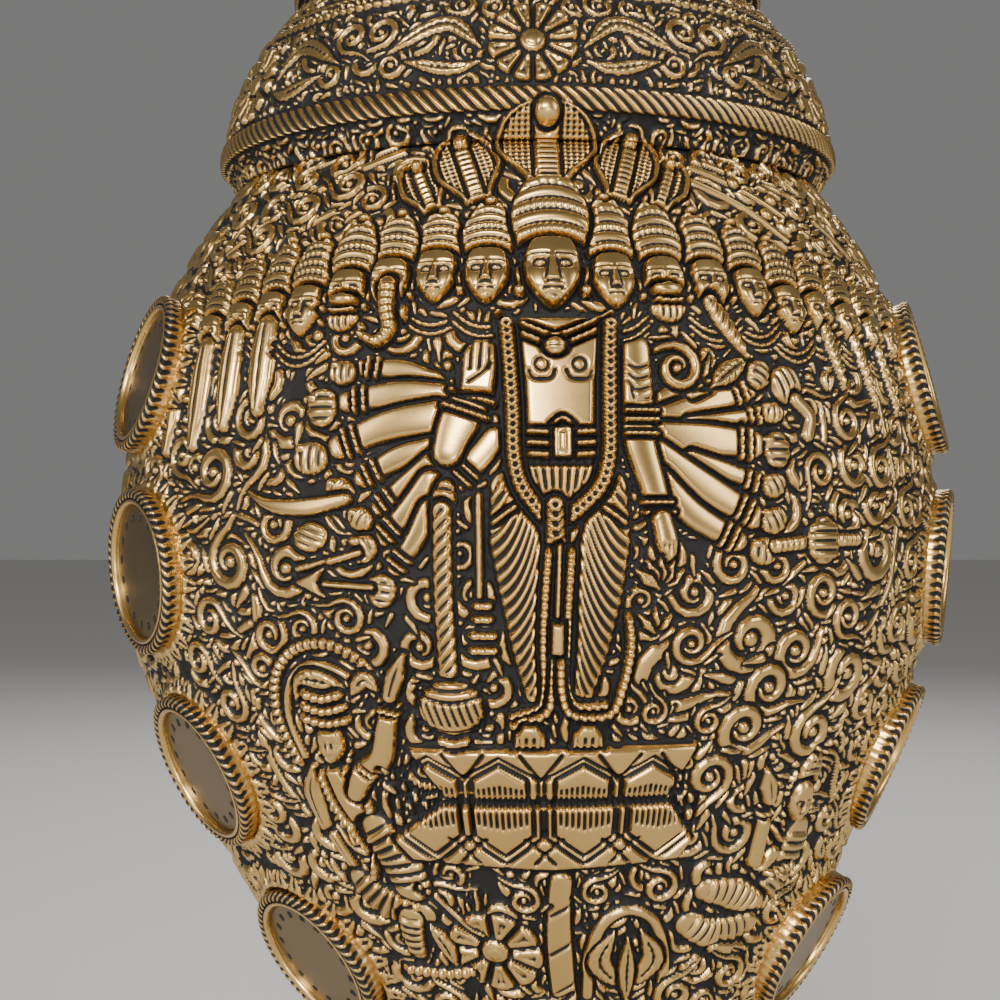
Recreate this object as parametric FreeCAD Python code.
import FreeCAD
import Part

import math
import os

# Large display shankha (conch) in cast brass, standing spire up in a three-legged ring stand.
# Millimetres, +Z up. The origin is on the floor under the spire's axis; -Y is the figured front.
# Azimuth is measured about +Z from the front, positive towards +X.

V = FreeCAD.Vector

# ---- driving dimensions -------------------------------------------------------------------
WALL = 4.0  # casting thickness of the body and canal
CLEARANCE = 0.3  # air between the conch and its stand

# Round cross-sections of the body whorl and canal: (height, radius, sideways shift of centre).
# The lower body leans towards +X, as the canal of a conch does.
BODY_SECTIONS = [
    (20.0, 14.5, 15.0),
    (40.0, 22.5, 14.0),
    (60.0, 31.5, 12.7),
    (85.0, 44.0, 10.4),
    (113.0, 58.5, 6.8),
    (139.0, 72.5, 3.2),
    (165.0, 84.5, 0.9),
    (191.0, 95.5, 0.0),
    (215.0, 102.0, 0.0),
    (237.0, 103.2, 0.0),
    (257.0, 101.0, 0.0),
    (277.0, 96.5, 0.0),
    (297.0, 87.5, 0.0),
    (310.0, 79.5, 0.0),
    (317.0, 74.0, 0.0),
]
BODY_TOP = 317.0
CANAL_TOP = 70.0  # brazed joint between canal and body, hidden in the stand's ring
CANAL_FLOOR = 28.0  # top of the solid end of the canal

FRONT_LEFT, FRONT_RIGHT = -60.0, 72.0  # azimuths of the two body seams, hidden by the medallions
# Medallion centres down each chain: (azimuth, height). The chains draw in towards the front.
MEDALLIONS = {
    "left": [(-64.0, 269.0), (-58.0, 224.0), (-55.0, 179.0), (-48.0, 135.0), (-43.0, 93.0)],
    "right": [(72.0, 269.0), (72.0, 224.0), (69.0, 179.0), (60.0, 135.0), (54.0, 93.0)],
}
DISC_R, DISC_T = 15.2, 2.0
BEZEL_R, LEDGE_R = 18.5, 12.5
BEZEL_PROUD, BEZEL_DEEP = 3.0, 7.5  # above and below the casting's surface
DISC_TOP = 1.5  # disc face above the casting's surface

WHORLS = 5
WHORL_RATIO = 0.765  # each whorl against the one below
WHORL_H, WHORL_FOOT_R, WHORL_BELLY_R, WHORL_TOP_R = 44.0, 75.0, 78.5, 60.5
WHORL_WALL = 3.6

APEX_H = 9.0
PIPE_H, PIPE_R, PIPE_FLARE_R, PIPE_BORE_R = 14.0, 7.0, 9.5, 4.0
KNOB_COLLAR_R, KNOB_NECK_R, KNOB_R = 11.5, 4.5, 6.5

MOUTH_MID, MOUTH_HALF_H, MOUTH_HALF_W = 192.0, 92.0, 23.0  # aperture in the back
MOUTH_X, MOUTH_LEAN = -3.0, -0.06  # its centre at mid-height, and the lean of its long axis
LIP_W, LIP_PROUD = 9.0, 3.5

SEAT_Z, SEAT_H, SEAT_R = 62.0, 15.0, 44.0  # stand ring: middle height, height, outer radius
SEAT_X = 12.5  # the ring is centred under the leaning canal
LEG_COUNT, LEG_T, FOOT_R = 3, 11.0, 84.0
LEG_LET_IN_R = 40.0  # how far in the legs are let into the seat ring
TIE_Z, TIE_H, TIE_R, TIE_IN_R = 27.0, 7.0, 44.5, 37.5
BUN_R, BUN_H, PAD_R, PAD_T = 10.0, 9.0, 8.0, 1.5
SCREW_R, SCREW_HEAD_R, SCREW_HEAD_H = 2.0, 3.6, 2.2


def save(name, shape):
    """Writes one node's solids as a STEP file."""
    shape.exportStep(f"parts/{name}.step")
    print(name, shape.isValid(), len(shape.Solids), round(shape.Volume / 1000.0, 2), "cm3")


# ---- surfaces ----------------------------------------------------------------------------
def section_at(height):
    """Radius and sideways shift of the body at a height, by straight lines between sections."""
    for (z0, r0, x0), (z1, r1, x1) in zip(BODY_SECTIONS, BODY_SECTIONS[1:]):
        if height <= z1:
            t = (height - z0) / (z1 - z0)
            return r0 + t * (r1 - r0), x0 + t * (x1 - x0)
    return BODY_SECTIONS[-1][1:]


def body_loft(grow, lowest=None):
    """Solid of revolution-like loft through the body's circles, grown outwards by grow."""
    wires = []
    for z, r, x in BODY_SECTIONS:
        if lowest is not None and z < lowest:
            continue
        circle = Part.Circle(V(x, 0, z), V(0, 0, 1), r + grow)
        wires.append(Part.Wire([circle.toShape()]))
    if lowest is not None:
        r, x = section_at(lowest)
        circle = Part.Circle(V(x, 0, lowest), V(0, 0, 1), r + grow)
        wires.insert(0, Part.Wire([circle.toShape()]))
    return Part.makeLoft(wires, True, False)


def slab(z0, z1, half=200.0):
    return Part.makeBox(2 * half, 2 * half, z1 - z0, V(-half, -half, z0))


def outward(azimuth):
    a = math.radians(azimuth)
    return V(math.sin(a), -math.cos(a), 0)


def front_wedge():
    """Prism over the front, between the two seams under the medallion chains."""
    far = 400.0
    spokes = [FRONT_LEFT, 0.0, FRONT_RIGHT]
    points = [V(0, 0, 0)] + [outward(a) * far for a in spokes] + [V(0, 0, 0)]
    return Part.Face(Part.makePolygon(points)).extrude(V(0, 0, 400.0))


def mouth_prism(margin):
    """Egg-shaped prism through the back wall, its outline margin outside the aperture's edge."""
    points = []
    steps = 18
    for i in range(steps):
        a = 2 * math.pi * i / steps
        rise = (MOUTH_HALF_H + margin) * math.cos(a)
        swell = 1.0 + 0.28 * math.cos(a)
        across = (MOUTH_HALF_W * swell + margin) * math.sin(a)
        x = MOUTH_X + MOUTH_LEAN * rise + across
        points.append(V(x, 25.0, MOUTH_MID + rise))
    outline = Part.BSplineCurve()
    outline.interpolate(Points=points, PeriodicFlag=True)
    return Part.Face(Part.Wire([outline.toShape()])).extrude(V(0, 130.0, 0))


def revolve(edges, centre_x=0.0):
    """Solid turned about the vertical line through (centre_x, 0) from edges in the XZ plane."""
    face = Part.Face(Part.Wire(edges))
    solid = face.revolve(V(0, 0, 0), V(0, 0, 1), 360)
    solid.translate(V(centre_x, 0, 0))
    return solid


def line(p, q):
    return Part.LineSegment(p, q).toShape()


def arc(p, q, r):
    return Part.Arc(p, q, r).toShape()


# ---- the conch ---------------------------------------------------------------------------
def medallion_frame(azimuth, height):
    """Point on the casting's surface and its outward normal, at a medallion's centre."""
    r, x = section_at(height)
    above, below = section_at(height + 12.0), section_at(height - 12.0)
    slope = (above[0] - below[0]) / 24.0
    out = outward(azimuth)
    normal = V(out.x, out.y, -slope)
    normal.normalize()
    return V(x + r * out.x, r * out.y, height), normal


def plug(frame, radius, low, high):
    """Cylinder about a medallion's axis, from low to high along its normal."""
    centre, normal = frame
    return Part.makeCylinder(radius, high - low, centre + normal * low, normal)


def bezel(frame):
    ring = plug(frame, BEZEL_R, -BEZEL_DEEP, BEZEL_PROUD)
    ring = ring.cut(plug(frame, DISC_R, DISC_TOP - DISC_T, BEZEL_PROUD + 1.0))
    return ring.cut(plug(frame, LEDGE_R, -BEZEL_DEEP - 1.0, BEZEL_PROUD))


def disc(frame):
    return plug(frame, DISC_R, DISC_TOP - DISC_T, DISC_TOP)


def whorl(index):
    """One hollow stepped tier of the spire."""
    s = WHORL_RATIO**index
    base = BODY_TOP + sum(WHORL_H * WHORL_RATIO**i for i in range(index))
    wall = WHORL_WALL * (0.6 + 0.4 * s)
    top = base + WHORL_H * s
    foot = V(WHORL_FOOT_R * s, 0, base)
    belly = V(WHORL_BELLY_R * s, 0, base + 5.5 * s)
    shoulder = V(74.5 * s, 0, base + 24.0 * s)
    crest = V(WHORL_TOP_R * s, 0, top)
    inner_crest = V(crest.x - wall, 0, top)
    inner_shoulder = V(shoulder.x - wall, 0, base + 22.5 * s)
    inner_foot = V(foot.x - wall, 0, base)
    edges = [
        line(foot, belly),
        arc(belly, shoulder, crest),
        line(crest, inner_crest),
        arc(inner_crest, inner_shoulder, inner_foot),
        line(inner_foot, foot),
    ]
    return revolve(edges), top, crest.x, wall


def apex_cap(base, foot_r):
    """Domed cap over the last whorl, with a hole for the blowing pipe."""
    inner = foot_r - 2.6
    hole = PIPE_R
    edges = [
        line(V(foot_r, 0, base), V(foot_r, 0, base + 1.5)),
        arc(V(foot_r, 0, base + 1.5), V(foot_r * 0.84, 0, base + 6.0), V(hole, 0, base + APEX_H)),
        line(V(hole, 0, base + APEX_H), V(hole, 0, base + APEX_H - 3.0)),
        arc(
            V(hole, 0, base + APEX_H - 3.0),
            V(inner * 0.8, 0, base + 3.8),
            V(inner, 0, base),
        ),
        line(V(inner, 0, base), V(foot_r, 0, base)),
    ]
    return revolve(edges)


def blowing_pipe(cap_top):
    """Short flared mouthpiece with a through bore."""
    low, high = cap_top - 3.0, cap_top + PIPE_H - 3.0
    edges = [
        line(V(PIPE_BORE_R, 0, low), V(PIPE_R, 0, low)),
        line(V(PIPE_R, 0, low), V(PIPE_R, 0, cap_top)),
        arc(V(PIPE_R, 0, cap_top), V(PIPE_R - 1.2, 0, cap_top + 4.5), V(PIPE_FLARE_R, 0, high - 1.5)),
        line(V(PIPE_FLARE_R, 0, high - 1.5), V(PIPE_FLARE_R, 0, high)),
        line(V(PIPE_FLARE_R, 0, high), V(PIPE_BORE_R, 0, high)),
        line(V(PIPE_BORE_R, 0, high), V(PIPE_BORE_R, 0, low)),
    ]
    return revolve(edges)


def tip_knob():
    """Turned collar and ball that close the pointed end of the canal."""
    z, x = BODY_SECTIONS[0][0], BODY_SECTIONS[0][2]
    neck_z = z - 3.5
    ball_z = neck_z - math.sqrt(KNOB_R**2 - KNOB_NECK_R**2)
    edges = [
        line(V(0, 0, z), V(KNOB_COLLAR_R, 0, z)),
        line(V(KNOB_COLLAR_R, 0, z), V(KNOB_COLLAR_R, 0, z - 2.0)),
        line(V(KNOB_COLLAR_R, 0, z - 2.0), V(KNOB_NECK_R, 0, neck_z)),
        arc(V(KNOB_NECK_R, 0, neck_z), V(KNOB_R, 0, ball_z), V(0, 0, ball_z - KNOB_R)),
        line(V(0, 0, ball_z - KNOB_R), V(0, 0, z)),
    ]
    return revolve(edges, x)


def inner_lip(cavity):
    """Curled plate inside the aperture: the shell's inner lip, rolling in from the +X edge."""
    wires = []
    thick = 2.6
    for z in (105.0, 140.0, 180.0, 220.0, 262.0):
        r, x = section_at(z)
        k = (r - WALL) / 99.0
        roll = 30.0 * k
        edge_x = MOUTH_X + MOUTH_LEAN * (z - MOUTH_MID) + (MOUTH_HALF_W + 7.0) * k
        edge_y = math.sqrt(max((r - WALL) ** 2 - (edge_x - x) ** 2, 1.0)) - 1.0
        centre = V(edge_x - 0.2 * roll, edge_y - roll, z)

        def at(angle, radius):
            a = math.radians(angle)
            return centre + V(radius * math.cos(a), radius * math.sin(a), 0)

        outer = arc(at(78, roll), at(0, roll), at(-78, roll))
        inner = arc(at(-78, roll - thick), at(0, roll - thick), at(78, roll - thick))
        ends = [line(at(-78, roll), at(-78, roll - thick)), line(at(78, roll - thick), at(78, roll))]
        wires.append(Part.Wire([outer, ends[0], inner, ends[1]]))
    return Part.makeLoft(wires, True, False).common(cavity)


def conch():
    outer = body_loft(0.0)
    cavity = body_loft(-WALL, CANAL_FLOOR)
    shell = outer.cut(cavity)
    save("canal", shell.common(slab(0.0, CANAL_TOP)))
    body = shell.common(slab(CANAL_TOP, BODY_TOP))

    frames = {}
    for side, places in MEDALLIONS.items():
        for number, (azimuth, height) in enumerate(places, 1):
            frames[f"{side}_{number}"] = medallion_frame(azimuth, height)
    for frame in frames.values():
        body = body.cut(plug(frame, BEZEL_R, -30.0, 25.0))

    wedge = front_wedge()
    save("body_front", body.common(wedge))
    lip_outline, mouth_outline = mouth_prism(LIP_W), mouth_prism(0.0)
    save("body_back", body.cut(wedge).cut(lip_outline))
    rim = body_loft(LIP_PROUD).cut(cavity).common(slab(CANAL_TOP, BODY_TOP))
    save("aperture_lip", rim.common(lip_outline).cut(mouth_outline))
    save("inner_lip", inner_lip(cavity.common(slab(CANAL_TOP, BODY_TOP))))

    for name, frame in frames.items():
        save(f"medallion_bezel_{name}", bezel(frame))
        save(f"medallion_disc_{name}", disc(frame))

    for index in range(WHORLS):
        tier, top, crest_r, wall = whorl(index)
        save(f"spire_whorl_{index + 1}", tier)
    save("apex_cap", apex_cap(top, crest_r - 0.6))
    save("blowing_pipe", blowing_pipe(top + APEX_H))
    save("tip_knob", tip_knob())


# ---- the stand ---------------------------------------------------------------------------
def seat_ring():
    low, high = SEAT_Z - SEAT_H / 2, SEAT_Z + SEAT_H / 2
    inner = 26.0
    edges = [
        line(V(inner, 0, low), V(SEAT_R - 3.0, 0, low)),
        arc(V(SEAT_R - 3.0, 0, low), V(SEAT_R, 0, SEAT_Z), V(SEAT_R - 3.0, 0, high)),
        line(V(SEAT_R - 3.0, 0, high), V(inner, 0, high)),
        line(V(inner, 0, high), V(inner, 0, low)),
    ]
    return revolve(edges, SEAT_X).cut(body_loft(CLEARANCE))


def leg_outline():
    """Cabriole leg in the XZ plane: a block let into the ring, a knee, an ankle and a toe."""
    low, high = SEAT_Z - SEAT_H / 2, SEAT_Z + SEAT_H / 2
    toe_r, toe_top = FOOT_R + 9.0, BUN_H + 4.5
    outside = [
        (50.0, high),
        (60.0, high - 1.7),
        (66.0, high - 8.5),
        (62.5, 45.0),
        (54.5, 33.0),
        (52.5, TIE_Z),
        (57.0, 17.5),
        (74.0, toe_top),
        (toe_r, toe_top),
    ]
    inside = [(66.0, BUN_H), (50.0, 14.0), (42.5, 24.0), (42.5, 30.0), (49.0, 41.0), (48.0, low)]
    edges = [line(V(LEG_LET_IN_R, 0, high), V(50.0, 0, high))]
    for run in (outside, inside):
        curve = Part.BSplineCurve()
        curve.interpolate(Points=[V(x, 0, z) for x, z in run])
        edges.append(curve.toShape())
    edges.insert(2, line(V(toe_r, 0, toe_top), V(toe_r, 0, BUN_H)))
    edges.insert(3, line(V(toe_r, 0, BUN_H), V(66.0, 0, BUN_H)))
    edges.append(line(V(48.0, 0, low), V(LEG_LET_IN_R, 0, low)))
    edges.append(line(V(LEG_LET_IN_R, 0, low), V(LEG_LET_IN_R, 0, high)))
    return Part.Face(Part.Wire(edges))


def leg():
    plate = leg_outline()
    plate.translate(V(0, -LEG_T / 2, 0))
    return plate.extrude(V(0, LEG_T, 0))


def tie_ring():
    low, high = TIE_Z - TIE_H / 2, TIE_Z + TIE_H / 2
    edges = [
        line(V(TIE_IN_R, 0, low), V(TIE_R, 0, low)),
        line(V(TIE_R, 0, low), V(TIE_R, 0, high)),
        line(V(TIE_R, 0, high), V(TIE_IN_R, 0, high)),
        line(V(TIE_IN_R, 0, high), V(TIE_IN_R, 0, low)),
    ]
    return revolve(edges, SEAT_X)


def bun_foot():
    edges = [
        line(V(0, 0, PAD_T), V(PAD_R, 0, PAD_T)),
        arc(V(PAD_R, 0, PAD_T), V(BUN_R, 0, 5.0), V(PAD_R - 1.0, 0, BUN_H)),
        line(V(PAD_R - 1.0, 0, BUN_H), V(0, 0, BUN_H)),
        line(V(0, 0, BUN_H), V(0, 0, PAD_T)),
    ]
    return revolve(edges, FOOT_R)


def screw(head_at, z, length):
    """Round-head screw lying along +X, its head outwards."""
    shank = Part.makeCylinder(SCREW_R, length, V(head_at - length, 0, z), V(1, 0, 0))
    dome = Part.makeSphere(4.2, V(head_at - 2.0, 0, z))
    head = Part.makeCylinder(SCREW_HEAD_R, SCREW_HEAD_H, V(head_at, 0, z), V(1, 0, 0)).common(dome)
    return shank.fuse(head)


def placed(shape, turn):
    copy = shape.copy()
    copy.rotate(V(0, 0, 0), V(0, 0, 1), turn)
    copy.translate(V(SEAT_X, 0, 0))
    return copy


def stand():
    turns = [90.0 + 360.0 * i / LEG_COUNT for i in range(LEG_COUNT)]
    ring, tie, one_leg = seat_ring(), tie_ring(), leg()
    screws = [screw(65.5, SEAT_Z, 24.0), screw(52.3, TIE_Z, 13.0)]
    for s in screws:
        one_leg = one_leg.cut(s)
    legs = [placed(one_leg, t) for t in turns]
    all_screws = [placed(s, t) for t in turns for s in screws]
    for piece in legs + all_screws:
        ring = ring.cut(piece)
        tie = tie.cut(piece)
    save("stand_seat_ring", ring)
    save("stand_tie_ring", tie)
    for number, piece in enumerate(legs, 1):
        save(f"stand_leg_{number}", piece)
    save("stand_screws", Part.Compound(all_screws))
    foot = bun_foot()
    pad = Part.makeCylinder(PAD_R, PAD_T, V(FOOT_R, 0, 0))
    for number, turn in enumerate(turns, 1):
        save(f"stand_foot_{number}", placed(foot, turn))
    save("felt_pads", Part.Compound([placed(pad, t) for t in turns]))


os.makedirs("parts", exist_ok=True)
conch()
stand()
